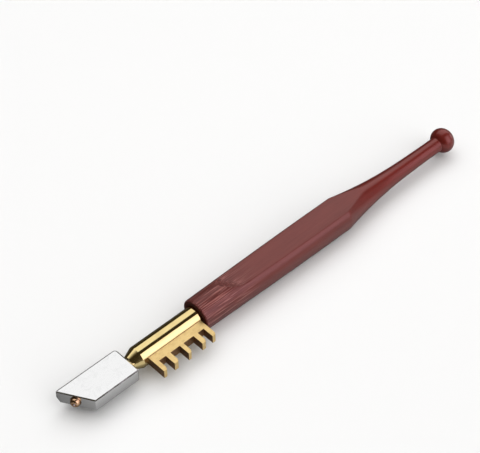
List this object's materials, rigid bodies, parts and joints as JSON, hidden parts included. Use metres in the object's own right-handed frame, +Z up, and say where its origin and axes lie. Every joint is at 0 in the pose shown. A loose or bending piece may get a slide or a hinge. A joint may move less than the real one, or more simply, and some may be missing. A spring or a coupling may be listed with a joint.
{
  "type": "diamond glass cutter",
  "caption": "Hand glass cutter: swivelling steel head with a diamond in its sole, brass ferrule, notched breaking comb and turned wooden handle with a ball end.",
  "frame": {"origin": "centre of the flat under the handle's grip, on the face itself", "axes": "+X runs along the tool from its head to the ball end, the comb's teeth point to -Y, +Z is up and square to the grip's flats"},
  "size_m": [0.1817, 0.0181, 0.0125],
  "materials": {
    "stained_hardwood": "dark red stain under clear varnish",
    "polished_brass": "mirror polish",
    "cast_brass": "matte as cast, filed edges",
    "bearing_bronze": "turned",
    "plain_steel": "turned",
    "chrome_plate": "bright plate",
    "copper_alloy": "satin",
    "diamond_crystal": "natural crystal faces"
  },
  "bodies": {
    "grip": {"handle": "stained_hardwood", "ferrule_tube": "polished_brass", "breaker_comb": "cast_brass", "swivel_bush": "bearing_bronze", "stop_pin": "plain_steel"},
    "head": {"head_block": "chrome_plate", "stem_lock_pin": "plain_steel", "swivel_stem": "plain_steel", "spring_washer": "plain_steel", "stop_collar": "bearing_bronze", "retaining_nut": "plain_steel", "diamond_setting": "copper_alloy", "diamond": "diamond_crystal"}
  },
  "joints": [
    {"name": "head_swivel", "type": "hinge", "parent": "grip", "child": "head", "pos_m": [-0.076, 0, 0.00475], "axis": [1, 0, 0], "range_deg": [-12, 12]}
  ]
}
